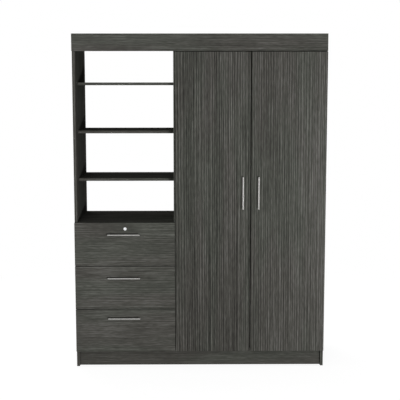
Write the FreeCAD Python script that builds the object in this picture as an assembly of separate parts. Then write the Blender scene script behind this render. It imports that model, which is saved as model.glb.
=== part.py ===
import FreeCAD, Part
import math
import os
from collections import namedtuple

Vec = FreeCAD.Vector

# Chifforobe: open shelves over three drawers on the left, a two-door wardrobe on the right.
# Millimetres, +Z up, fronts facing -Y, origin on the floor below the middle of the whole.

# Overall size of the cabinet, front faces to rear, without the pulls
cabinet_width = 1350.0
cabinet_height = 1800.0
cabinet_depth = 485.0

# Boards
board = 15.0
front_thickness = 15.0
back_thickness = 3.0
edge_round = 0.8
front_standoff = 3.0
reveal = 3.5
meeting_gap = 5.5
header_height = 91.0

# Plinth
plinth_height = 87.0
plinth_setback = 43.0
rear_plinth_inset = 30.0
front_lift = 1.0

# Open bay, its deck and shelves
bay_width = 519.0
deck_top = 797.5
shelf_height_shares = (0.251, 0.536, 0.821)
shelf_setback = 126.0
shelf_play = 0.5
hat_shelf_drop = 240.0
hat_shelf_setback = 80.0

# Shelf pins
pin_radius = 2.5
pin_seat = 7.0
pin_reach = 9.0
pin_inset = 37.0

# Hanging rod and its sockets
rod_radius = 12.5
rod_wall = 1.2
rod_play = 0.2
rod_drop = 60.0
rod_depth_share = 0.5
socket_flange_radius = 24.0
socket_flange = 4.0
socket_collar_radius = 16.0
socket_collar = 16.0

# Thin backs
back_margin = 1.0

# Cup hinges
hinge_height_shares = (0.055, 0.35, 0.65, 0.945)
cup_radius = 17.5
cup_depth = 12.5
cup_wall = 1.0
cup_inset = 3.0
cup_lip = 1.0
cup_flange = 1.2
wing_length = 60.0
wing_width = 16.0
wing_screw_spread = 48.0
axis_inset = 7.5
hinge_pin_radius = 1.1
hinge_pin_length = 20.0
hinge_pin_play = 0.05
barrel_radius = 2.2
barrel_play = 0.3
arm_width = 10.0
arm_thickness = 2.0
arm_run = 15.0
arm_reach = 56.0
plate_setback = 22.0
plate_depth = 30.0
plate_height = 40.0
plate_screw_spread = 26.0

# Pulls: a straight round bar on two posts
pull_length = 172.5
pull_centres = 160.0
pull_radius = 4.5
pull_reach = 30.0
post_radius = 4.0
door_pull_backset = 39.0
door_pull_height = 958.3
drawer_pull_shift = -5.0
drawer_pull_drops = (63.0, 62.5, 46.5)

# Drawers, from the top one down
drawer_names = ("upper_drawer", "middle_drawer", "lower_drawer")
drawer_board = 15.0
drawer_play = 3.0
drawer_rear_space = 67.0
drawer_side_lift = 25.0
drawer_side_height = 150.0
drawer_bottom = 3.0
drawer_bottom_lift = 10.0
drawer_bottom_groove = 6.0
drawer_back_drop = 10.0

# Runner strips on the case, in a groove of each drawer side
runner_thickness = 9.5
runner_height = 16.0
runner_rear_space = 62.0
runner_setback = 2.0
runner_rise = 60.0
groove_play = 0.3
runner_screw_inset = 40.0

# Cam lock in the top drawer front
lock_shift = 2.5
lock_drop = 32.5
lock_face_radius = 8.2
lock_face = 2.0
lock_body_radius = 7.2
lock_tail = 6.0
lock_nut_across = 19.0
lock_nut_height = 3.0
plug_radius = 5.5
plug_play = 0.05
plug_proud = 0.3
key_slot_width = 1.6
key_slot_height = 7.0
key_slot_depth = 4.0
cam_gap = 0.5
cam_thickness = 2.5
cam_width = 11.0
cam_length = 24.5
cam_stub_radius = 3.5
cam_stub_proud = 1.5
cam_slot_play = 1.5

# Fasteners
case_screw_head_radius = 5.0
case_screw_head = 4.0
case_screw_radius = 3.2
case_screw_length = 50.0
case_screw_depth_shares = (0.12, 0.5, 0.88)
wood_screw_head_radius = 3.2
wood_screw_head = 1.0
wood_screw_radius = 1.75
wood_screw_bite = 10.0
arm_screw_bite = 4.0
pull_screw_head_radius = 4.0
pull_screw_head = 2.5
pull_screw_radius = 2.0
pull_screw_bite = 12.0
dowel_radius = 4.0
dowel_length = 32.0
dowel_bite = 9.0
header_dowel_shares = (0.2, 0.4, 0.6, 0.8)
box_screw_height_shares = (0.2, 0.8)
box_dowel_height_shares = (0.2, 0.75)

# One overrun for all cuts
overrun = 1.0

# Directions
ACROSS = Vec(1, 0, 0)
BACK = Vec(0, 1, 0)
UP = Vec(0, 0, 1)

# Places that follow from the sizes
half_width = cabinet_width / 2
front_y = pull_reach - (cabinet_depth + pull_reach) / 2
front_rear_y = front_y + front_thickness
case_y = front_rear_y + front_standoff
rear_y = front_y + cabinet_depth
board_rear_y = rear_y - back_thickness
inner_left = board - half_width
inner_right = half_width - board
divider_left = inner_left + bay_width
divider_right = divider_left + board
top_under = cabinet_height - board
floor_top = plinth_height + board
front_bottom = plinth_height + front_lift
header_bottom = cabinet_height - header_height
door_top = header_bottom - reveal
parting_x = (divider_left + divider_right) / 2
drawer_front_right = parting_x - reveal / 2
door_left = parting_x + reveal / 2
meeting_x = (door_left + half_width) / 2
deck_under = deck_top - board
drawer_front_height = (deck_top - front_bottom + reveal) / len(drawer_names) - reveal
hat_shelf_top = cabinet_height - hat_shelf_drop
drawer_depth = board_rear_y - drawer_rear_space - front_rear_y
hinge_axis_y = front_rear_y - cup_depth + cup_wall + barrel_play + barrel_radius
case_boards_y = (case_y, board_rear_y)

Screw = namedtuple("Screw", "head_radius head radius")
case_screw = Screw(case_screw_head_radius, case_screw_head, case_screw_radius)
wood_screw = Screw(wood_screw_head_radius, wood_screw_head, wood_screw_radius)
pull_screw = Screw(pull_screw_head_radius, pull_screw_head, pull_screw_radius)

# A door: its name, its left and right edges, its hinged edge, the way from that edge
# into the door (1 or -1 along X), the case face its hinges sit on, and its pull's place
Door = namedtuple("Door", "name left right hinged_edge inward case_face pull_x")
doors = (
    Door("left_door", door_left, meeting_x - meeting_gap / 2, door_left, 1, divider_right,
         meeting_x - meeting_gap / 2 - door_pull_backset),
    Door("right_door", meeting_x + meeting_gap / 2, half_width, half_width, -1, inner_right,
         meeting_x + meeting_gap / 2 + door_pull_backset),
)


# Small helpers

def span(a, b):
    return (min(a, b), max(a, b))


def about(middle, size):
    return (middle - size / 2, middle + size / 2)


def part_way(limits, share):
    return limits[0] + (limits[1] - limits[0]) * share


def slab(x, y, z):
    return Part.makeBox(x[1] - x[0], y[1] - y[0], z[1] - z[0], Vec(x[0], y[0], z[0]))


def eased(shape):
    return shape.makeFillet(edge_round, shape.Edges)


def screw(kind, head_at, direction, length):
    head = Part.makeCylinder(kind.head_radius, kind.head, head_at, direction)
    shank = Part.makeCylinder(kind.radius, length, head_at, direction)
    return head.fuse(shank).removeSplitter()


def dowel(start, direction):
    return Part.makeCylinder(dowel_radius, dowel_length, start, direction)


def drilled(shape, fasteners):
    near = [piece for piece in fasteners if shape.BoundBox.intersect(piece.BoundBox)]
    return shape.cut(near) if near else shape


def group(solids):
    return Part.makeCompound(solids)


# Fasteners of the case

def case_screws():
    solids = []
    for share in case_screw_depth_shares:
        y = part_way(case_boards_y, share)
        floor_z = plinth_height + board / 2
        deck_z = deck_top - board / 2
        places = [
            (Vec(-half_width, y, floor_z), ACROSS),
            (Vec(half_width, y, floor_z), -ACROSS),
            (Vec(-half_width, y, deck_z), ACROSS),
            (Vec(divider_right, y, deck_z), -ACROSS),
            (Vec(parting_x, y, plinth_height), UP),
        ]
        for x in (inner_left - board / 2, parting_x, inner_right + board / 2):
            places.append((Vec(x, y, cabinet_height), -UP))
        solids += [screw(case_screw, at, way, case_screw_length) for at, way in places]
    for y in (front_y + plinth_setback + board / 2, board_rear_y - rear_plinth_inset - board / 2):
        for side in (-1, 1):
            at = Vec(side * half_width, y, plinth_height / 2)
            solids.append(screw(case_screw, at, ACROSS * -side, case_screw_length))
    return solids


def header_dowels():
    start_y = case_y - dowel_bite
    places = [Vec(x, start_y, (header_bottom + top_under) / 2)
              for x in (inner_left - board / 2, parting_x, inner_right + board / 2)]
    for share in header_dowel_shares:
        x = part_way((-half_width, half_width), share)
        places.append(Vec(x, start_y, cabinet_height - board / 2))
    return [dowel(at, BACK) for at in places]


# Open bay and wardrobe shelves, each on four pins hidden in its ends

Shelf = namedtuple("Shelf", "name left right front top")
bay_shelves = [
    Shelf(name, inner_left, divider_left, front_y + shelf_setback, part_way((deck_top, header_bottom), share))
    for name, share in zip(("lower_shelf", "middle_shelf", "upper_shelf"), shelf_height_shares)
]
hat_shelf = Shelf("hat_shelf", divider_right, inner_right, front_y + hat_shelf_setback, hat_shelf_top)


def shelf_board(shelf):
    x = (shelf.left + shelf_play, shelf.right - shelf_play)
    return slab(x, (shelf.front, board_rear_y), (shelf.top - board, shelf.top))


def shelf_pins(shelf):
    z = shelf.top - board / 2
    solids = []
    for y in (shelf.front + pin_inset, board_rear_y - pin_inset):
        for wall, inward in ((shelf.left, ACROSS), (shelf.right, -ACROSS)):
            start = Vec(wall, y, z) - inward * pin_seat
            solids.append(Part.makeCylinder(pin_radius, pin_seat + pin_reach, start, inward))
    return solids


# Hanging rod across the wardrobe

def rod_place():
    y = part_way(case_boards_y, rod_depth_share)
    return y, hat_shelf_top - board - rod_drop


def hanging_rod():
    y, z = rod_place()
    gap = socket_flange + rod_play
    start = Vec(divider_right + gap, y, z)
    length = inner_right - divider_right - gap * 2
    tube = Part.makeCylinder(rod_radius, length, start, ACROSS)
    return tube.cut(Part.makeCylinder(rod_radius - rod_wall, length, start, ACROSS))


def rod_socket(wall, inward):
    y, z = rod_place()
    at = Vec(wall, y, z)
    flange = Part.makeCylinder(socket_flange_radius, socket_flange, at, inward)
    collar = Part.makeCylinder(socket_collar_radius, socket_collar, at, inward)
    mouth = at + inward * socket_flange
    bore = Part.makeCylinder(rod_radius + rod_play, socket_collar, mouth, inward)
    return flange.fuse(collar).cut(bore).removeSplitter()


# Drawer runners on the case

def drawer_front_z(index):
    top = deck_top - (drawer_front_height + reveal) * index
    return (top - drawer_front_height, top)


def runner_z(index):
    return drawer_front_z(index)[0] + drawer_side_lift + runner_rise


def runner_y():
    return (case_y + runner_setback, board_rear_y - runner_rear_space)


def runner_strips(index):
    z = about(runner_z(index), runner_height)
    left = slab((inner_left, inner_left + runner_thickness), runner_y(), z)
    right = slab((divider_left - runner_thickness, divider_left), runner_y(), z)
    return [left, right]


def runner_screws(index):
    start, end = runner_y()
    length = runner_thickness + wood_screw_bite
    solids = []
    for y in (start + runner_screw_inset, end - runner_screw_inset):
        for wall, inward in ((inner_left, ACROSS), (divider_left, -ACROSS)):
            at = Vec(wall, y, runner_z(index)) + inward * runner_thickness
            solids.append(screw(wood_screw, at, -inward, length))
    return solids


# Cup hinges

def hinge_axis_x(door):
    return door.hinged_edge + door.inward * axis_inset


def hinge_heights():
    return [part_way((front_bottom, door_top), share) for share in hinge_height_shares]


def hinge_pin(door, z):
    start = Vec(hinge_axis_x(door), hinge_axis_y, z - hinge_pin_length / 2)
    return Part.makeCylinder(hinge_pin_radius, hinge_pin_length, start, UP)


def cup_centre_x(door):
    return door.hinged_edge + door.inward * (cup_inset + cup_radius)


def hinge_cup(door, z):
    floor = Vec(cup_centre_x(door), front_rear_y - cup_depth, z)
    shell = Part.makeCylinder(cup_radius, cup_depth, floor, BACK)
    lip = Part.makeCylinder(cup_radius + cup_lip, cup_flange, floor + BACK * cup_depth, BACK)
    wing_y = (front_rear_y, front_rear_y + cup_flange)
    wings = slab(about(cup_centre_x(door), wing_width), wing_y, about(z, wing_length))
    hollow = Part.makeCylinder(cup_radius - cup_wall, cup_depth + cup_flange, floor + BACK * cup_wall, BACK)
    return shell.fuse([lip, wings]).removeSplitter().cut(hollow)


def cup_recess(door, z):
    floor = Vec(cup_centre_x(door), front_rear_y - cup_depth, z)
    return Part.makeCylinder(cup_radius, cup_depth + overrun, floor, BACK)


def cup_screws(door, z):
    solids = []
    for screw_z in about(z, wing_screw_spread):
        at = Vec(cup_centre_x(door), front_rear_y + cup_flange, screw_z)
        solids.append(screw(wood_screw, at, -BACK, cup_flange + wood_screw_bite))
    return solids


def leg_faces_x(door):
    near = hinge_axis_x(door) + door.inward * (arm_run - arm_thickness)
    return near, near + door.inward * arm_thickness


def hinge_arm(door, z):
    axis_x = hinge_axis_x(door)
    near, far = leg_faces_x(door)
    wide = about(z, arm_width)
    foot_y = hinge_axis_y - barrel_radius
    axis_foot = Vec(axis_x, hinge_axis_y, wide[0])
    barrel = Part.makeCylinder(barrel_radius, arm_width, axis_foot, UP)
    web = slab(span(axis_x, far), (foot_y, foot_y + arm_thickness), wide)
    leg = slab(span(near, far), (foot_y, case_y + arm_reach), wide)
    bore = Part.makeCylinder(hinge_pin_radius + hinge_pin_play, arm_width, axis_foot, UP)
    return barrel.fuse([web, leg]).removeSplitter().cut(bore)


def plate_y():
    return (case_y + plate_setback, case_y + plate_setback + plate_depth)


def hinge_plate(door, z):
    near, far = leg_faces_x(door)
    return slab(span(door.case_face, near), plate_y(), about(z, plate_height))


def hinge_screws(door, z):
    near, far = leg_faces_x(door)
    y = sum(plate_y()) / 2
    drive = ACROSS * -door.inward
    length = abs(near - door.case_face) + wood_screw_bite
    solids = [screw(wood_screw, Vec(near, y, screw_z), drive, length)
              for screw_z in about(z, plate_screw_spread)]
    solids.append(screw(wood_screw, Vec(far, y, z), drive, arm_thickness + arm_screw_bite))
    return solids


# Pulls

def pull_feet(centre, along):
    return [centre + along * (way * pull_centres / 2) for way in (-1, 1)]


def bar_pull(centre, along):
    bar_out = pull_reach - pull_radius
    bar_end = centre - BACK * bar_out - along * (pull_length / 2)
    bar = Part.makeCylinder(pull_radius, pull_length, bar_end, along)
    rims = [edge for edge in bar.Edges if edge.Closed]
    bar = bar.makeFillet(edge_round, rims)
    posts = [Part.makeCylinder(post_radius, bar_out, foot, -BACK) for foot in pull_feet(centre, along)]
    return bar.fuse(posts).removeSplitter()


def pull_screws(centre, along):
    length = pull_screw_head + front_thickness + pull_screw_bite
    head_out = front_thickness + pull_screw_head
    return [screw(pull_screw, foot + BACK * head_out, -BACK, length) for foot in pull_feet(centre, along)]


# Doors with their hinge halves and pulls

def door_pieces(door):
    heights = hinge_heights()
    centre = Vec(door.pull_x, front_y, door_pull_height)
    pins = [hinge_pin(door, z) for z in heights]
    screws = pull_screws(centre, UP)
    for z in heights:
        screws += cup_screws(door, z)
    panel = eased(slab((door.left, door.right), (front_y, front_rear_y), (front_bottom, door_top)))
    recesses = [cup_recess(door, z) for z in heights]
    return {
        door.name: drilled(panel, recesses + screws),
        door.name + "_pull": drilled(bar_pull(centre, UP), screws),
        door.name + "_hinge_cups": group([drilled(hinge_cup(door, z), pins + screws) for z in heights]),
        door.name + "_hinge_pins": group(pins),
        door.name + "_screws": group(screws),
    }


# Drawers

def drawer_sides(index):
    low = drawer_front_z(index)[0] + drawer_side_lift
    y = (front_rear_y, front_rear_y + drawer_depth)
    z = (low, low + drawer_side_height)
    groove_depth = runner_thickness - drawer_play + groove_play
    groove_z = about(runner_z(index), runner_height + groove_play * 2)
    groove_y = (y[0] - overrun, y[1] + overrun)
    solids = []
    for wall, inward in ((inner_left, 1), (divider_left, -1)):
        outer = wall + inward * drawer_play
        side = slab(span(outer, outer + inward * drawer_board), y, z)
        groove_x = span(outer - inward * overrun, outer + inward * groove_depth)
        solids.append(side.cut(slab(groove_x, groove_y, groove_z)))
    return solids


def drawer_inner_x():
    inset = drawer_play + drawer_board
    return (inner_left + inset, divider_left - inset)


def drawer_bottom_z(index):
    low = drawer_front_z(index)[0] + drawer_side_lift + drawer_bottom_lift
    return (low, low + drawer_bottom)


def drawer_bottom_panel(index):
    left, right = drawer_inner_x()
    x = (left - drawer_bottom_groove, right + drawer_bottom_groove)
    return slab(x, (front_rear_y, front_rear_y + drawer_depth), drawer_bottom_z(index))


def drawer_back_z(index):
    side_top = drawer_front_z(index)[0] + drawer_side_lift + drawer_side_height
    return (drawer_bottom_z(index)[1], side_top - drawer_back_drop)


def drawer_back(index):
    rear = front_rear_y + drawer_depth
    return slab(drawer_inner_x(), (rear - drawer_board, rear), drawer_back_z(index))


def drawer_box_screws(index):
    y = front_rear_y + drawer_depth - drawer_board / 2
    solids = []
    for share in box_screw_height_shares:
        z = part_way(drawer_back_z(index), share)
        for x, inward in zip(drawer_inner_x(), (ACROSS, -ACROSS)):
            at = Vec(x, y, z) - inward * drawer_board
            solids.append(screw(case_screw, at, inward, case_screw_length))
    return solids


def drawer_dowels(index):
    low = drawer_front_z(index)[0] + drawer_side_lift
    left, right = drawer_inner_x()
    solids = []
    for share in box_dowel_height_shares:
        z = low + drawer_side_height * share
        for x in (left - drawer_board / 2, right + drawer_board / 2):
            solids.append(dowel(Vec(x, front_rear_y - dowel_bite, z), BACK))
    return solids


def drawer_pieces(index):
    name = drawer_names[index]
    front_z = drawer_front_z(index)
    pull_x = (drawer_front_right - half_width) / 2 + drawer_pull_shift
    centre = Vec(pull_x, front_y, front_z[1] - drawer_pull_drops[index])
    screws = pull_screws(centre, ACROSS) + drawer_box_screws(index)
    dowels = drawer_dowels(index)
    bottom = drawer_bottom_panel(index)
    fixings = screws + dowels + [bottom]
    front = eased(slab((-half_width, drawer_front_right), (front_y, front_rear_y), front_z))
    return {
        name + "_front": drilled(front, screws + dowels),
        name + "_sides": group([drilled(side, fixings) for side in drawer_sides(index)]),
        name + "_back": drilled(drawer_back(index), screws),
        name + "_bottom": bottom,
        name + "_pull": drilled(bar_pull(centre, ACROSS), screws),
        name + "_screws": group(screws),
        name + "_dowels": group(dowels),
    }


# Cam lock of the top drawer

lock_x = (drawer_front_right - half_width) / 2 + lock_shift
lock_z = deck_top - lock_drop
lock_rear_y = front_rear_y + lock_tail
cam_y = (lock_rear_y + cam_gap, lock_rear_y + cam_gap + cam_thickness)


def lock_round(radius, y):
    return Part.makeCylinder(radius, y[1] - y[0], Vec(lock_x, y[0], lock_z), BACK)


def lock_barrel():
    face = lock_round(lock_face_radius, (front_y - lock_face, front_y))
    body = lock_round(lock_body_radius, (front_y, lock_rear_y))
    bore = lock_round(plug_radius + plug_play, (front_y - lock_face, lock_rear_y))
    return face.fuse(body).removeSplitter().cut(bore)


def lock_nut():
    corner = lock_nut_across / math.sqrt(3)
    corners = []
    for step in range(7):
        turn = math.radians(60 * step)
        corners.append(Vec(lock_x + corner * math.cos(turn), front_rear_y, lock_z + corner * math.sin(turn)))
    nut = Part.Face(Part.makePolygon(corners)).extrude(BACK * lock_nut_height)
    return nut.cut(lock_round(lock_body_radius, (front_rear_y, front_rear_y + lock_nut_height)))


def lock_plug():
    start = front_y - lock_face - plug_proud
    plug = lock_round(plug_radius, (start, cam_y[0]))
    stub = lock_round(cam_stub_radius, (cam_y[0], cam_y[1] + cam_stub_proud))
    slot_y = (start - overrun, start + key_slot_depth)
    slot = slab(about(lock_x, key_slot_width), slot_y, about(lock_z, key_slot_height))
    return plug.fuse(stub).removeSplitter().cut(slot)


def lock_cam():
    plate = slab((lock_x, lock_x + cam_length), cam_y, about(lock_z, cam_width))
    boss = lock_round(cam_width / 2, cam_y)
    return plate.fuse(boss).removeSplitter().cut(lock_round(cam_stub_radius, cam_y))


def cam_slot():
    reach = math.hypot(cam_length, cam_width / 2) + cam_slot_play
    x = (lock_x - cam_width / 2 - cam_slot_play, lock_x + reach)
    y = (cam_y[0] - cam_slot_play, cam_y[1] + cam_stub_proud + cam_slot_play)
    return slab(x, y, (deck_under - overrun, lock_z + reach))


def lock_pieces():
    return {
        "lock_barrel": lock_barrel(),
        "lock_nut": lock_nut(),
        "lock_plug": lock_plug(),
        "lock_cam": lock_cam(),
    }


# Case boards

def side_panel(outer, inner):
    return slab(span(outer, inner), case_boards_y, (0, top_under))


def case_boards():
    between = (inner_left, inner_right)
    plinth_y = front_y + plinth_setback
    rear_plinth_y = board_rear_y - rear_plinth_inset
    header_x = (-half_width, half_width)
    header = slab(header_x, (case_y - front_thickness, case_y), (header_bottom, cabinet_height))
    deck = slab((inner_left, divider_left), case_boards_y, (deck_under, deck_top))
    boards = {
        "left_side": side_panel(-half_width, inner_left),
        "right_side": side_panel(inner_right, half_width),
        "divider": slab((divider_left, divider_right), case_boards_y, (floor_top, top_under)),
        "top_panel": slab((-half_width, half_width), case_boards_y, (top_under, cabinet_height)),
        "bottom_panel": slab(between, case_boards_y, (plinth_height, floor_top)),
        "header_fascia": eased(header),
        "front_plinth": slab(between, (plinth_y, plinth_y + board), (0, plinth_height)),
        "rear_plinth": slab(between, (rear_plinth_y - board, rear_plinth_y), (0, plinth_height)),
        "drawer_deck": deck.cut(cam_slot()),
    }
    for shelf in bay_shelves + [hat_shelf]:
        boards[shelf.name] = shelf_board(shelf)
    return boards


def thin_backs():
    y = (board_rear_y, rear_y)
    wardrobe_x = (parting_x + back_margin, half_width - back_margin)
    drawer_x = (back_margin - half_width, parting_x - back_margin)
    low = plinth_height + back_margin
    return {
        "wardrobe_back": slab(wardrobe_x, y, (low, cabinet_height - back_margin)),
        "drawer_bay_back": slab(drawer_x, y, (low, deck_top - back_margin)),
    }


# The whole cabinet

def case_pieces():
    rows = range(len(drawer_names))
    pins = [pin for shelf in bay_shelves + [hat_shelf] for pin in shelf_pins(shelf)]
    hung = [(door, z) for door in doors for z in hinge_heights()]
    hinge_fixings = [piece for door, z in hung for piece in hinge_screws(door, z)]
    strip_fixings = [piece for index in rows for piece in runner_screws(index)]
    strips = [strip for index in rows for strip in runner_strips(index)]
    screws = case_screws()
    dowels = header_dowels()
    fixings = screws + dowels + pins + hinge_fixings + strip_fixings
    pieces = {name: drilled(piece, fixings) for name, piece in case_boards().items()}
    pieces.update(thin_backs())
    pieces["shelf_pins"] = group(pins)
    pieces["case_screws"] = group(screws)
    pieces["header_dowels"] = group(dowels)
    pieces["hinge_screws"] = group(hinge_fixings)
    pieces["runner_screws"] = group(strip_fixings)
    pieces["drawer_runners"] = group([drilled(strip, strip_fixings) for strip in strips])
    pieces["hinge_arms"] = group([drilled(hinge_arm(door, z), hinge_fixings) for door, z in hung])
    pieces["hinge_plates"] = group([drilled(hinge_plate(door, z), hinge_fixings) for door, z in hung])
    pieces["hanging_rod"] = hanging_rod()
    pieces["rod_sockets"] = group([rod_socket(divider_right, ACROSS), rod_socket(inner_right, -ACROSS)])
    return pieces


def cabinet():
    pieces = case_pieces()
    for door in doors:
        pieces.update(door_pieces(door))
    for index in range(len(drawer_names)):
        pieces.update(drawer_pieces(index))
    lock = lock_pieces()
    upper_front = drawer_names[0] + "_front"
    pieces[upper_front] = drilled(pieces[upper_front], [lock_round(lock_body_radius, (front_y, front_rear_y))])
    pieces.update(lock)
    return pieces


os.makedirs("parts", exist_ok=True)
for node, shape in cabinet().items():
    shape.exportStep("parts/" + node + ".step")
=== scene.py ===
# %% [markdown]
# # Dressing a grey-oak chifforobe
# The cabinet arrives as a frame of solids: boards, doors, drawers, hinges and a lock, each already at its
# real size and place. They could be modelled again here, but then two models would have to be kept alike,
# so this lesson dresses the frame as it is: it gives the solids their finishes, adds the small pieces that
# a cabinet maker fits last, and sets up a plain studio.

# %% Load the frame
import bpy
import math
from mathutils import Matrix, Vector


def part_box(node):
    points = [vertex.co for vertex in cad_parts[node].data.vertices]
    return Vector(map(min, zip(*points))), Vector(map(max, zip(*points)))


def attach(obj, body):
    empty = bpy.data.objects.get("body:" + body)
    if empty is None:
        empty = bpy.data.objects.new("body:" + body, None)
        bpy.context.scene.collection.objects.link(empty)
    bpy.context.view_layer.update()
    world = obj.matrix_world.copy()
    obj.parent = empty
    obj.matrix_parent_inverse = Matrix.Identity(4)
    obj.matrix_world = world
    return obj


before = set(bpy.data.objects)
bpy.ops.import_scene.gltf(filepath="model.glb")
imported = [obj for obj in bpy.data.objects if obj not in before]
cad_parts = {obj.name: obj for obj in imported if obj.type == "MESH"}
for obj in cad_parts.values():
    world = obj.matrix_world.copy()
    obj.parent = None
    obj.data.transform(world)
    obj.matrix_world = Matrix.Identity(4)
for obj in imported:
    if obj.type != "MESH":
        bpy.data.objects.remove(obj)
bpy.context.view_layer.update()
bpy.ops.object.select_all(action="DESELECT")
mm = 0.001  # one millimetre, in metres
scene = bpy.context.scene
scene.view_settings.view_transform = "Standard"
print("solids in the frame:", len(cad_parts))

# %% [markdown]
# ## Small helpers
# Colours are easiest to judge as the hex values of a paint chart, but a shader works in linear light, so
# one function converts them. Another adds a shader node, sets its properties and fills or links its inputs,
# and a third starts a material with nothing in it. All this could be written out line by line for every
# node, but with these helpers a material reads from top to bottom like a recipe.

# %% Colour and node helpers
def linear(chart_colour):
    """An sRGB hex colour as linear red, green, blue and alpha, by the sRGB standard's curve."""
    channels = [int(chart_colour[at:at + 2], 16) / 255 for at in (1, 3, 5)]
    return tuple(c / 12.92 if c <= 0.04045 else ((c + 0.055) / 1.055) ** 2.4 for c in channels) + (1.0,)


def add(tree, kind, settings=None, inputs=None, stops=()):
    """A new node with its settings made, its inputs set or linked, and a ramp's (place, colour) stops."""
    node = tree.nodes.new(kind)
    for name, value in (settings or {}).items():
        setattr(node, name, value)
    for key, value in (inputs or {}).items():
        if isinstance(value, bpy.types.NodeSocket):
            tree.links.new(value, node.inputs[key])
        else:
            node.inputs[key].default_value = value
    for place, _ in stops[2:]:  # a new ramp has two stops already
        node.color_ramp.elements.new(place)
    for at, (place, colour) in enumerate(stops):
        node.color_ramp.elements[at].position = place
        node.color_ramp.elements[at].color = linear(colour)
    return node


def empty_material(name):
    """A new material without nodes, and its tree."""
    material = bpy.data.materials.new(name)
    material.use_nodes = True
    material.node_tree.nodes.clear()
    return material, material.node_tree


print("grey chart colour #808080 is", round(linear("#808080")[0], 3), "in linear light")

# %% [markdown]
# ## The camera
# A camera can be lined up by eye, but here its place was worked out from the picture's own edges: the
# corners of the header, doors, drawers and plinth fix where it stood, how it was tilted and how long its
# lens was. It stands a little left of the middle, at the height of the top shelf, and looks down by seven
# degrees. Angles are in radians.

# %% Set up the camera
sensor_mm = 36.0
lens_mm = 82.587
camera_place = Vector((-42.3, -5103.4, 1529.49)) * mm
camera_pitch = 0.12421
camera_yaw = 0.0087
camera_roll = -0.00062

camera_data = bpy.data.cameras.new("picture_camera")
camera_data.sensor_width = sensor_mm
camera_data.lens = lens_mm
camera = bpy.data.objects.new("picture_camera", camera_data)
scene.collection.objects.link(camera)
camera.location = camera_place
camera.rotation_euler = (math.pi / 2 - camera_pitch, 0.0, -camera_yaw)
camera.rotation_euler.rotate_axis("Z", camera_roll)
scene.camera = camera
print("camera stands at", tuple(round(value, 3) for value in camera_place), "metres")

# %% [markdown]
# ## Studio lamps
# The light in the picture is frontal and low: the fronts are evenly lit, the tops of the shelves and the
# inside of the open bay stay dark, and the pulls throw narrow shadows, upwards from the drawer pulls and
# to the left of the door pulls. One broad lamp would lose those shadows, so a small key lamp stands near
# the floor, a metre to the right of the camera, and a large soft one hangs high behind the camera to open
# them. Weaker lamps stand level with the case at both sides, so that they don't shine into the bay, and
# two more reach the rear and the top, which the picture doesn't show. Places and sizes are in metres.

# %% Place the lamps
def lamp(name, place, aim, size, watts):
    """A soft rectangular lamp at a place, turned towards a point."""
    data = bpy.data.lights.new(name, "AREA")
    data.shape = "RECTANGLE"
    data.size, data.size_y = size
    data.energy = watts
    thing = bpy.data.objects.new(name, data)
    scene.collection.objects.link(thing)
    thing.location = place
    thing.rotation_euler = (Vector(aim) - Vector(place)).to_track_quat("-Z", "Y").to_euler()
    print(name, "gives", watts, "watts")


cabinet_middle = (0.0, 0.0, 0.9)
cabinet_top = (0.0, 0.1, 1.8)
lamp("front_lamp", (1.1, -5.0, 0.10), cabinet_middle, size=(0.5, 0.16), watts=150.0)
lamp("soft_front_lamp", (-0.9, -5.8, 3.9), cabinet_middle, size=(4.5, 2.6), watts=88.0)
lamp("left_lamp", (-4.2, -0.3, 1.3), cabinet_middle, size=(1.6, 2.0), watts=55.0)
lamp("right_lamp", (4.2, -0.3, 1.3), cabinet_middle, size=(1.6, 2.0), watts=55.0)
lamp("rear_lamp", (-2.4, 4.4, 1.0), cabinet_middle, size=(2.4, 1.6), watts=130.0)
lamp("top_lamp", (0.0, 0.6, 4.2), cabinet_top, size=(1.4, 0.9), watts=28.0)

# %% [markdown]
# ## A white world
# The cabinet stands in front of nothing but white. More light would bleach the wood, so the white is
# painted instead: where the camera or a reflection looks, the world is white at strength one, while the
# light that falls on the cabinet is only a faint fill.

# %% White world
def seen_directly(tree):
    """1 where the camera, a reflection or a clear surface looks, 0 for light that falls on things."""
    path = add(tree, "ShaderNodeLightPath")
    looks = add(tree, "ShaderNodeMath", {"operation": "MAXIMUM"},
                {0: path.outputs["Is Camera Ray"], 1: path.outputs["Is Glossy Ray"]})
    looks = add(tree, "ShaderNodeMath", {"operation": "MAXIMUM"},
                {0: looks.outputs[0], 1: path.outputs["Is Transmission Ray"]})
    return looks.outputs[0]


fill_strength = 0.19
world = bpy.data.worlds.new("white_studio")
scene.world = world
world.use_nodes = True
sky = world.node_tree
sky.nodes.clear()
fill = add(sky, "ShaderNodeBackground", None, {"Color": linear("#ffffff"), "Strength": fill_strength})
white = add(sky, "ShaderNodeBackground", None, {"Color": linear("#ffffff"), "Strength": 1.0})
both = add(sky, "ShaderNodeMixShader", None,
           {0: seen_directly(sky), 1: fill.outputs[0], 2: white.outputs[0]})
add(sky, "ShaderNodeOutputWorld", None, {"Surface": both.outputs[0]})
print("world fill:", fill_strength)

# %% [markdown]
# ## White paper floor
# The cabinet stands on white paper, which is painted white for the camera in the same way. A sheet that
# is white all over would lose the contact shadow, so near the cabinet the paper shows a share of its true
# shading, and further out it fades to plain white. The floor belongs to the studio and not to the
# cabinet, so a flat plane will do.

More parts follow.
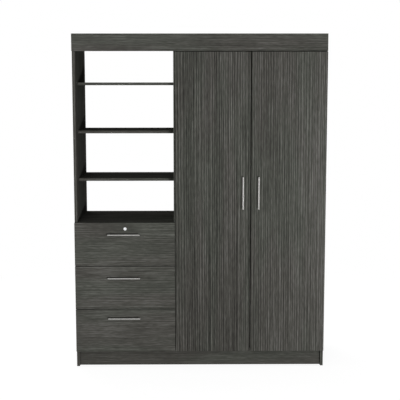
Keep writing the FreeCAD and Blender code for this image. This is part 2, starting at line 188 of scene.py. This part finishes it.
# %% Lay the paper
floor_size = 24.0
shadow_fades_from = 1.0
shadow_fades_to = 2.6
paper_grey = linear("#c9c9c9")
shading_grey = linear("#808080")
glow_near_cabinet = 0.9
bpy.ops.mesh.primitive_plane_add(size=floor_size)
floor = bpy.context.object
floor.name = "studio_floor"
paper, tree = empty_material("white_paper_floor")
place = add(tree, "ShaderNodeTexCoord").outputs["Object"]
away = add(tree, "ShaderNodeVectorMath", {"operation": "LENGTH"}, {0: place})
fade = add(tree, "ShaderNodeMapRange", None,
           {"Value": away.outputs["Value"], "From Min": shadow_fades_from, "From Max": shadow_fades_to})
lit = add(tree, "ShaderNodeBsdfDiffuse", None, {"Color": paper_grey})
faint = add(tree, "ShaderNodeBsdfDiffuse", None, {"Color": shading_grey})
glow = add(tree, "ShaderNodeEmission", None, {"Color": linear("#ffffff"), "Strength": glow_near_cabinet})
plain = add(tree, "ShaderNodeEmission", None, {"Color": linear("#ffffff"), "Strength": 1.0})
near = add(tree, "ShaderNodeAddShader", None, {0: faint.outputs[0], 1: glow.outputs[0]})
look = add(tree, "ShaderNodeMixShader", None, {0: fade.outputs[0], 1: near.outputs[0], 2: plain.outputs[0]})
both = add(tree, "ShaderNodeMixShader", None,
           {0: seen_directly(tree), 1: lit.outputs[0], 2: look.outputs[0]})
add(tree, "ShaderNodeOutputMaterial", None, {"Surface": both.outputs[0]})
floor.data.materials.append(paper)
bpy.ops.object.select_all(action="DESELECT")
print("floor:", floor_size, "metres square")

# %% [markdown]
# ## Grey-oak melamine
# The boards are particle board faced with printed melamine paper: a smoky grey oak with long straight
# grain, pressed dead matt. The eye sees wide soft bands, narrow stripes that run the whole length of a
# board, flecks and short pores inside them, and a tone that drifts a little between warm and greenish
# grey. A picture of wood could be laid on each face, but it would show seams at the edges. So the print
# is worked out in space: the stripes are waves with a wandering phase and the rest is noise stretched
# along the grain, all on the object's own coordinates in metres, so that every board shows its own part
# of the print on all its faces.

# %% Melamine with grain along one axis
# Widths and lengths are in mm. Real oak pores are a few tenths of a millimetre wide, so flecks and pores
# are drawn coarser here, as wide as they need to be to show.
stripe_pitch = 12.5
wave_turn = 2 * math.pi / 10  # one turn of a wave texture, in the texture's own units
layer_widths = {"bands": 95, "stripes": stripe_pitch / wave_turn, "flecks": 3.6, "pores": 2.8, "drift": 120}
layer_lengths = {"bands": 1500, "stripes": 6000, "flecks": 220, "pores": 36, "drift": 900}
tone_stops = (0.32, 0.50, 0.68)
warm_greys = ("#2b2a28", "#4b4a46", "#747370")
green_greys = ("#292a27", "#4a4b46", "#72736e")
drift_range = (0.42, 0.58)
stripe_wander = 9.0
roughness_range = (0.72, 0.58)
relief_depth = 0.15


def grey_oak(name, along, base, shares, lengths=layer_lengths, start=(0.0, 0.0, 0.0)):
    """Grey-oak print along X, Y or Z, with a middle tone, its layers' shares and lengths, and its start."""
    material, tree = empty_material(name)
    place = add(tree, "ShaderNodeTexCoord").outputs["Object"]
    layers = {}
    for layer, width in layer_widths.items():
        scale = [1 / (lengths[layer] * mm) if axis == along else 1 / (width * mm) for axis in "XYZ"]
        first = [metres * size for metres, size in zip(start, scale)]
        drawn_out = add(tree, "ShaderNodeMapping", None,
                        {"Vector": place, "Location": first, "Scale": scale}).outputs[0]
        if layer == "stripes":
            texture = add(tree, "ShaderNodeTexWave", {"bands_direction": "DIAGONAL"}, {
                "Vector": drawn_out, "Scale": 1.0, "Distortion": stripe_wander, "Detail": 2.0,
                "Detail Scale": 0.55})
        else:
            texture = add(tree, "ShaderNodeTexNoise", None,
                          {"Vector": drawn_out, "Scale": 1.0, "Detail": 1.0})
        layers[layer] = texture.outputs["Fac"]
    tone = base - 0.5 * sum(shares.values())
    for layer, share in shares.items():
        tone = add(tree, "ShaderNodeMath", {"operation": "MULTIPLY_ADD"},
                   {0: layers[layer], 1: share, 2: tone}).outputs[0]
    warm = add(tree, "ShaderNodeValToRGB", None, {"Fac": tone}, tuple(zip(tone_stops, warm_greys)))
    green = add(tree, "ShaderNodeValToRGB", None, {"Fac": tone}, tuple(zip(tone_stops, green_greys)))
    cast = add(tree, "ShaderNodeMapRange", None,
               {"Value": layers["drift"], "From Min": drift_range[0], "From Max": drift_range[1]})
    # a Mix node takes its share at input 0 and its colours at 6 and 7, and gives the mixed one at output 2
    colour = add(tree, "ShaderNodeMix", {"data_type": "RGBA"},
                 {0: cast.outputs[0], 6: warm.outputs[0], 7: green.outputs[0]})
    rough = add(tree, "ShaderNodeMapRange", None,
                {"Value": tone, "To Min": roughness_range[0], "To Max": roughness_range[1]})
    relief = add(tree, "ShaderNodeBump", None,
                 {"Height": tone, "Distance": relief_depth * mm, "Strength": 1.0})
    # dead matt: the least gloss would lay a white veil on the walls and shelves of the bay
    shader = add(tree, "ShaderNodeBsdfPrincipled", None, {
        "Base Color": colour.outputs[2], "Roughness": rough.outputs[0], "IOR": 1.45,
        "Specular IOR Level": 0.0, "Normal": relief.outputs[0]})
    add(tree, "ShaderNodeOutputMaterial", None, {"Surface": shader.outputs[0]})
    return material


print("print layers:", ", ".join(layer_widths))

# %% [markdown]
# ## Cutting the sheets
# A factory cuts its boards from printed sheets, and no two are quite alike. Grain runs up the doors and
# sides, and along the drawers and the header, where it is softer and its streaks are shorter. The left
# door's print is set darker, and the sides' is calmer. The plinths' print is plainer, and its tone is
# set darker as painted shade, for the shade under the overhanging fronts. One material could serve all
# boards with the same grain, but then the doors would look like one board. Each print's start, in metres
# along X, Y and Z, says which stretch of the roll a sheet is from: for the fronts, one whose light and
# dark bands fall much as in the picture.

# %% Melamine sheets for each kind of board
door_shares = {"bands": 0.13, "stripes": 0.11, "flecks": 0.30, "pores": 0.22}
darker_shares = {"bands": 0.18, "stripes": 0.13, "flecks": 0.32, "pores": 0.23}
side_shares = {"bands": 0.08, "stripes": 0.10, "flecks": 0.26, "pores": 0.18}
level_shares = {"bands": 0.12, "stripes": 0.05, "flecks": 0.24, "pores": 0.22}
plinth_shares = {"bands": 0.08, "stripes": 0.02, "flecks": 0.20, "pores": 0.20}
level_lengths = {**layer_lengths, "bands": 260, "flecks": 150}
door_start = (1.088, 0, 55.24)
darker_start = (3.014, 0, 78.48)
level_start = (5.748, 0, 5.604)
upright_oak = grey_oak("grey_oak_melamine_upright", "Z", base=0.49, shares=door_shares, start=door_start)
side_oak = grey_oak("grey_oak_melamine_sides", "Z", base=0.485, shares=side_shares)
# the left door's print is set to a darker base tone
darker_oak = grey_oak("grey_oak_melamine_darker_tone", "Z", base=0.455, shares=darker_shares,
                      start=darker_start)
level_oak = grey_oak("grey_oak_melamine_level", "X", base=0.495, shares=level_shares,
                     lengths=level_lengths, start=level_start)
# the plinths' lower base tone is painted shade, for the shade under the overhanging fronts
plinth_oak_painted_shade = grey_oak("grey_oak_melamine_plinths_painted_shade", "X", base=0.475, shares=plinth_shares,
                      lengths=level_lengths)
deep_oak = grey_oak("grey_oak_melamine_fore_and_aft", "Y", base=0.495, shares=level_shares,
                    lengths=level_lengths)
sheets = (upright_oak, side_oak, darker_oak, level_oak, plinth_oak_painted_shade, deep_oak)
print("melamine:", ", ".join(sheet.name for sheet in sheets))

# %% [markdown]
# ## Plated metals
# The pulls are steel bars with satin nickel plating. Hinges, screws and pins are nickel plated too, but
# tumbled rather than brushed. The lock, the rod and its sockets are bright chrome. All are metals, so
# their colour is the colour of their reflection. One roughness all over would do, but it looks like a
# mirror or like paint, so small patches of a duller polish break it up.

# %% Metals with an uneven polish
def plated(name, dull, bright, patch, smoothest, roughest):
    """Plated metal between two tones, with a polish that varies over patches of a size in mm."""
    material, tree = empty_material(name)
    place = add(tree, "ShaderNodeTexCoord").outputs["Object"]
    patches = add(tree, "ShaderNodeTexNoise", None,
                  {"Vector": place, "Scale": 1 / (patch * mm), "Detail": 3.0}).outputs["Fac"]
    colour = add(tree, "ShaderNodeValToRGB", None, {"Fac": patches}, ((0.3, dull), (0.7, bright)))
    rough = add(tree, "ShaderNodeMapRange", None,
                {"Value": patches, "To Min": roughest, "To Max": smoothest})
    shader = add(tree, "ShaderNodeBsdfPrincipled", None,
                 {"Base Color": colour.outputs[0], "Metallic": 1.0, "Roughness": rough.outputs[0]})
    add(tree, "ShaderNodeOutputMaterial", None, {"Surface": shader.outputs[0]})
    return material


# a soft bright line where the bar faces the lamp, and dark flanks where it mirrors the door
satin_nickel = plated("satin_nickel_bar", "#807f7d", "#898886", patch=12.0, smoothest=0.37, roughest=0.40)
# a cloudy grey gleam without clear reflections
nickel_steel = plated("tumbled_nickel_steel", "#97958f", "#b5b3ad", patch=1.5, smoothest=0.28, roughest=0.44)
# hard white highlights beside near black
bright_chrome = plated("bright_chrome", "#dcdde0", "#f2f3f4", patch=2.0, smoothest=0.06, roughest=0.14)
print("metals:", satin_nickel.name, nickel_steel.name, bright_chrome.name)

# %% [markdown]
# ## Hardboard
# The thin backs and drawer bottoms are hardboard: brown fibre pressed hard, with one face lacquered grey
# to match the boards. The bare face shows its fibre and a cloudy variation of brown. Two materials could
# be put on the two faces, but one that looks at the surface's own direction keeps them together.

# %% Hardboard with one lacquered face
# Single fibres are finer than half a millimetre, so they are drawn as tufts of 2.5 mm, which show.
fibre_tuft = 2.5
fibre_relief = 0.08
cloud_size = 110.0
cloud_share = 0.25


def hardboard(name, axis, way):
    """Pressed fibre whose face towards one end of an axis is lacquered grey."""
    material, tree = empty_material(name)
    coordinates = add(tree, "ShaderNodeTexCoord")
    place = coordinates.outputs["Object"]
    fibre = add(tree, "ShaderNodeTexNoise", None,
                {"Vector": place, "Scale": 1 / (fibre_tuft * mm), "Detail": 4.0, "Roughness": 0.7})
    clouds = add(tree, "ShaderNodeTexNoise", None,
                 {"Vector": place, "Scale": 1 / (cloud_size * mm), "Detail": 3.0})
    # where a Mix node mixes numbers, they are its inputs 2 and 3 and its output 0
    tone = add(tree, "ShaderNodeMix", None,
               {0: cloud_share, 2: fibre.outputs["Fac"], 3: clouds.outputs["Fac"]}).outputs[0]
    brown = add(tree, "ShaderNodeValToRGB", None, {"Fac": tone},
                ((0.35, "#5b4636"), (0.50, "#6d5544"), (0.65, "#7f6652")))
    grey = add(tree, "ShaderNodeValToRGB", None, {"Fac": tone}, ((0.35, "#4c4b48"), (0.65, "#585652")))
    faces = add(tree, "ShaderNodeSeparateXYZ", None, {0: coordinates.outputs["Normal"]})
    turned = add(tree, "ShaderNodeMath", {"operation": "MULTIPLY"}, {0: faces.outputs[axis], 1: way})
    lacquered = add(tree, "ShaderNodeMath", {"operation": "GREATER_THAN"}, {0: turned.outputs[0], 1: 0.5})
    colour = add(tree, "ShaderNodeMix", {"data_type": "RGBA"},
                 {0: lacquered.outputs[0], 6: brown.outputs[0], 7: grey.outputs[0]})
    relief = add(tree, "ShaderNodeBump", None,
                 {"Height": fibre.outputs["Fac"], "Distance": fibre_relief * mm, "Strength": 1.0})
    shader = add(tree, "ShaderNodeBsdfPrincipled", None, {
        "Base Color": colour.outputs[2], "Roughness": 0.8, "IOR": 1.45, "Specular IOR Level": 0.1,
        "Normal": relief.outputs[0]})
    add(tree, "ShaderNodeOutputMaterial", None, {"Surface": shader.outputs[0]})
    return material


back_hardboard = hardboard("hardboard_lacquered_inside", "Y", -1.0)
bottom_hardboard = hardboard("hardboard_lacquered_above", "Z", 1.0)
print("hardboard:", back_hardboard.name, bottom_hardboard.name)

# %% [markdown]
# ## Beech and plastics
# The dowels are turned beech, the drawer runners white polypropylene, the screw caps grey polyethylene
# and the bumpers soft clear polyurethane. Each could have a recipe of its own, but all are small and
# dull, and a fine mottle in colour and relief is all that shows, so one recipe serves them.

# %% Mottled small parts
# Turned and moulded surfaces have a grain of about a tenth of a millimetre, so the mottle is drawn coarser,
# at one or two millimetres.
mottle_relief = 0.04


def mottled(name, dark, light, size, roughness, ior):
    """A dull material with a fine mottle of a size in mm."""
    material, tree = empty_material(name)
    place = add(tree, "ShaderNodeTexCoord").outputs["Object"]
    mottle = add(tree, "ShaderNodeTexNoise", None,
                 {"Vector": place, "Scale": 1 / (size * mm), "Detail": 3.0}).outputs["Fac"]
    colour = add(tree, "ShaderNodeValToRGB", None, {"Fac": mottle}, ((0.3, dark), (0.7, light)))
    relief = add(tree, "ShaderNodeBump", None,
                 {"Height": mottle, "Distance": mottle_relief * mm, "Strength": 1.0})
    shader = add(tree, "ShaderNodeBsdfPrincipled", None, {
        "Base Color": colour.outputs[0], "Roughness": roughness, "IOR": ior, "Normal": relief.outputs[0]})
    add(tree, "ShaderNodeOutputMaterial", None, {"Surface": shader.outputs[0]})
    return material


# pale, warm and dry
beech = mottled("turned_beech", "#b08a5e", "#c8a679", size=1.2, roughness=0.6, ior=1.5)
# a waxy off-white
runner_plastic = mottled("white_polypropylene", "#d4d4cf", "#e2e2de", size=2.0, roughness=0.45, ior=1.49)
# as grey as the boards, but waxier
cap_plastic = mottled("grey_polyethylene", "#45443f", "#55534e", size=1.5, roughness=0.5, ior=1.51)
# a wet grey drop
bumper_plastic = mottled("clear_polyurethane", "#8d8d88", "#a6a6a1", size=1.0, roughness=0.25, ior=1.5)
print("small parts:", beech.name, runner_plastic.name, cap_plastic.name, bumper_plastic.name)

# %% [markdown]
# ## Giving each solid its finish
# Upright boards have upright grain. The header, drawer fronts, plinths, shelves and decks have level
# grain, and drawer sides run fore and aft. The finishes could be set one by one, but a table shows them
# at a glance. What it doesn't name is hardware in nickel-plated steel.

# %% Assign the finishes
finishes = {
    upright_oak: ("right_door",),
    side_oak: ("left_side", "right_side", "divider"),
    darker_oak: ("left_door",),
    level_oak: ("top_panel", "bottom_panel", "header_fascia", "drawer_deck",
                "lower_shelf", "middle_shelf", "upper_shelf", "hat_shelf",
                "upper_drawer_front", "middle_drawer_front", "lower_drawer_front",
                "upper_drawer_back", "middle_drawer_back", "lower_drawer_back"),
    plinth_oak_painted_shade: ("front_plinth", "rear_plinth"),
    deep_oak: ("upper_drawer_sides", "middle_drawer_sides", "lower_drawer_sides"),
    back_hardboard: ("wardrobe_back", "drawer_bay_back"),
    bottom_hardboard: ("upper_drawer_bottom", "middle_drawer_bottom", "lower_drawer_bottom"),
    satin_nickel: ("left_door_pull", "right_door_pull", "upper_drawer_pull", "middle_drawer_pull",
                   "lower_drawer_pull"),
    bright_chrome: ("hanging_rod", "rod_sockets", "lock_barrel", "lock_plug"),
    runner_plastic: ("drawer_runners",),
    beech: ("header_dowels", "upper_drawer_dowels", "middle_drawer_dowels", "lower_drawer_dowels"),
}
finish_of = {node: material for material, nodes in finishes.items() for node in nodes}
for name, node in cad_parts.items():
    node.data.materials.clear()
    node.data.materials.append(finish_of.get(name, nickel_steel))
print("named finishes:", len(finish_of), "hardware:", len(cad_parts) - len(finish_of))

# %% [markdown]
# ## Modelling a small piece once
# Caps, nails and bumpers are all small round things that start as a flat cylinder and get their form from
# steps in the top face. Each could be written out operator by operator, but they share the same start, so
# one helper makes it: it adds the cylinder face up on the origin, picks its top by the way the face looks,
# and insets it step by step, up or down.

# %% A disc with a stepped top
facing_up = 0.9  # the least upward part of the normal of a face that counts as a top


def stepped_disc(radius, height, sides, steps):
    """A flat cylinder, face up on the origin, whose top is inset in steps of (inwards, upwards)."""
    bpy.ops.mesh.primitive_cylinder_add(vertices=sides, radius=radius, depth=height,
                                        location=(0, 0, height / 2))
    disc = bpy.context.object
    bpy.ops.object.transform_apply(location=True)
    bpy.ops.object.mode_set(mode="EDIT")
    bpy.ops.mesh.select_mode(type="FACE")
    bpy.ops.mesh.select_all(action="DESELECT")
    bpy.ops.object.mode_set(mode="OBJECT")
    for face in disc.data.polygons:
        face.select = face.normal.z > facing_up
    bpy.ops.object.mode_set(mode="EDIT")
    for step_in, step_up in steps:
        bpy.ops.mesh.inset(thickness=step_in, depth=step_up)
    bpy.ops.object.mode_set(mode="OBJECT")
    return disc


print("tops are faces within", round(math.degrees(math.acos(facing_up))), "degrees of level")

# %% [markdown]
# ## Setting out copies
# The cabinet has dozens of these small pieces. They could be modelled in place, one after another, but it
# is less work to copy one. One helper gives the middle of a solid's box, which says where things go, and
# another sets out copies, each with its own mesh, and makes them one piece that sits at the origin with
# its place in its mesh.

# %% Copies at their places
def middle_of(node):
    """The middle of a solid's box."""
    low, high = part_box(node)
    return (low + high) / 2


def set_out(piece, name, places):
    """Copies of a piece at (point, direction) places in metres, joined under a name."""
    copies = []
    for point, direction in places:
        bpy.ops.object.select_all(action="DESELECT")
        piece.select_set(True)
        bpy.context.view_layer.objects.active = piece
        bpy.ops.object.duplicate(linked=False)
        copies.append(bpy.context.object)
        copies[-1].location = point
        copies[-1].rotation_euler = Vector(direction).to_track_quat("Z", "Y").to_euler()
    bpy.ops.object.select_all(action="DESELECT")
    for copy in copies:
        copy.select_set(True)
    bpy.ops.object.join()
    joined = bpy.context.object
    bpy.ops.object.transform_apply(location=True, rotation=True, scale=True)
    joined.name = name
    print(name, "has", len(copies), "copies and", len(joined.data.polygons), "faces")
    return joined


print("middle of the bottom panel:", tuple(round(value, 4) for value in middle_of("bottom_panel")))

# %% [markdown]
# ## Screw caps
# Screws through the sides, the top and the divider hold the case together. Each head is hidden under a
# press-in cap of grey polyethylene, a thin moulded disc with a rounded rim and a dished middle. It could
# be turned from a profile, but a flat cylinder is quicker: its top is inset twice, the second time
# downwards, and a bevel rounds the moulded corners.

# %% Model one cap
cap_radius = 6.5 * mm
cap_height = 1.3 * mm
cap_sides = 32
rim_width = 1.7 * mm
dish_slope = 0.9 * mm
dish_depth = 0.4 * mm
rim_round = 0.45 * mm
rim_round_segments = 2
cap_crease = math.radians(35)  # edges that bend more than this stay sharp
cap = stepped_disc(cap_radius, cap_height, cap_sides, ((rim_width, 0.0), (dish_slope, -dish_depth)))
bpy.ops.object.modifier_add(type="BEVEL")
bevel = cap.modifiers[-1]
bevel.width = rim_round
bevel.segments = rim_round_segments
bevel.limit_method = "ANGLE"
bpy.ops.object.modifier_apply(modifier=bevel.name)
bpy.ops.object.shade_smooth_by_angle(angle=cap_crease)
cap.data.materials.append(cap_plastic)
print("cap:", len(cap.data.polygons), "faces")

# %% [markdown]
# The caps sit where the screws are, and those are found from the boards that they join: three in line
# through each joint of an upright with the bottom panel or the drawer deck, one for each end of a plinth,
# and three over each upright on the top.

# %% Set the caps on the case
screw_depth_shares = (0.12, 0.5, 0.88)
panel_low, panel_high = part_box("bottom_panel")
screw_y = [panel_low.y + share * (panel_high.y - panel_low.y) for share in screw_depth_shares]
floor_z = middle_of("bottom_panel").z
deck_z = middle_of("drawer_deck").z
side_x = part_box("right_side")[1].x
divider_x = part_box("divider")[1].x
top_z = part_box("top_panel")[1].z
plinths = [middle_of(node) for node in ("front_plinth", "rear_plinth")]
uprights = [middle_of(node) for node in ("left_side", "divider", "right_side")]
places = [((-side_x, y, z), (-1, 0, 0)) for y in screw_y for z in (floor_z, deck_z)]
places += [((side_x, y, floor_z), (1, 0, 0)) for y in screw_y]
places += [((divider_x, y, deck_z), (1, 0, 0)) for y in screw_y]
places += [((way * side_x, plinth.y, plinth.z), (way, 0, 0)) for way in (-1, 1) for plinth in plinths]
places += [((upright.x, y, top_z), (0, 0, 1)) for upright in uprights for y in screw_y]
caps = set_out(cap, "screw_caps", places)
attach(caps, "case")
bpy.data.objects.remove(cap)

# %% [markdown]
# ## Nails in the thin backs
# The hardboard backs are nailed to the rear edges of the boards, about a hand's length apart. Only the
# heads show: small low domes of nickel-plated steel. A dome could be cut from a ball, but here a short
# cylinder's top is inset and raised twice, which gives few faces, because there are dozens of nails.

# %% Model one nail head
nail_radius = 2.6 * mm
nail_height = 0.5 * mm
nail_sides = 12
nail_steps = ((0.7 * mm, 0.35 * mm), (0.9 * mm, 0.15 * mm))
nail_crease = math.radians(40)
nail = stepped_disc(nail_radius, nail_height, nail_sides, nail_steps)
bpy.ops.object.shade_smooth_by_angle(angle=nail_crease)
nail.data.materials.append(nickel_steel)
print("nail head:", len(nail.data.polygons), "faces")

# %% [markdown]
# The nails go round the edge of each back, set in a little from it so that they reach the boards' edges.
# Their spacing is evened out along each edge, so that a nail stands in every corner.

# %% Nail both backs to the case
nail_spacing = 155 * mm
nail_margin = 6 * mm
rear_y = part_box("wardrobe_back")[1].y
backwards = (0, 1, 0)
places = []
for back in ("wardrobe_back", "drawer_bay_back"):
    low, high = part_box(back)
    left, right = low.x + nail_margin, high.x - nail_margin
    bottom, top = low.z + nail_margin, high.z - nail_margin
    columns = round((right - left) / nail_spacing)
    rows = round((top - bottom) / nail_spacing)
    for at in range(columns + 1):
        x = left + (right - left) * at / columns
        places += [((x, rear_y, bottom), backwards), ((x, rear_y, top), backwards)]
    for at in range(1, rows):
        z = bottom + (top - bottom) * at / rows
        places += [((left, rear_y, z), backwards), ((right, rear_y, z), backwards)]
nails = set_out(nail, "back_nails", places)
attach(nails, "case")
bpy.data.objects.remove(nail)

# %% [markdown]
# ## Bumpers
# Self-adhesive dots of clear polyurethane keep doors and drawers from knocking on the case. They fill the
# narrow gap behind the fronts, less a hair so that they never rub. A dot could be a squashed ball, but a
# cylinder whose top is inset and raised three times, each time less, has the upright rim and low dome of
# a drop of resin.

# %% Model one bumper
bumper_radius = 2.6 * mm
bumper_sides = 20
bumper_play = 0.3 * mm
bumper_crease = math.radians(50)
dome_steps = ((0.4 * mm, 0.5 * mm), (0.6 * mm, 0.4 * mm), (0.8 * mm, 0.2 * mm))
dome_height = sum(step_up for _, step_up in dome_steps)
gap_behind_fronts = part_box("bottom_panel")[0].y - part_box("left_door")[1].y
rim_height = gap_behind_fronts - bumper_play - dome_height
bumper = stepped_disc(bumper_radius, rim_height, bumper_sides, dome_steps)
bpy.ops.object.shade_smooth_by_angle(angle=bumper_crease)
bumper.data.materials.append(bumper_plastic)
print("bumper:", len(bumper.data.polygons), "faces,", round(bumper.dimensions.z / mm, 2), "mm high")

# %% [markdown]
# A door has two bumpers low down, where it meets the bottom panel's edge. A drawer front has four, two on
# the side panel's edge and two on the strip of the divider that the front still covers.

# %% Stick the bumpers behind the fronts
door_insets = (12 * mm, 200 * mm)
drawer_inset = 30 * mm
spots = {
    "left_door": [(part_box("left_door")[1].x - inset, floor_z) for inset in door_insets],
    "right_door": [(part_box("right_door")[0].x + inset, floor_z) for inset in door_insets],
}
for drawer in ("upper_drawer", "middle_drawer", "lower_drawer"):
    low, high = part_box(drawer + "_front")
    edges_x = (middle_of("left_side").x, (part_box("divider")[0].x + high.x) / 2)
    levels_z = (low.z + drawer_inset, high.z - drawer_inset)
    spots[drawer] = [(x, z) for x in edges_x for z in levels_z]
for body, dots in spots.items():
    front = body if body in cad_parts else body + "_front"
    face_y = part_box(front)[1].y
    bumpers = set_out(bumper, body + "_bumpers", [((x, face_y, z), backwards) for x, z in dots])
    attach(bumpers, body)
bpy.data.objects.remove(bumper)
bpy.ops.object.select_all(action="DESELECT")
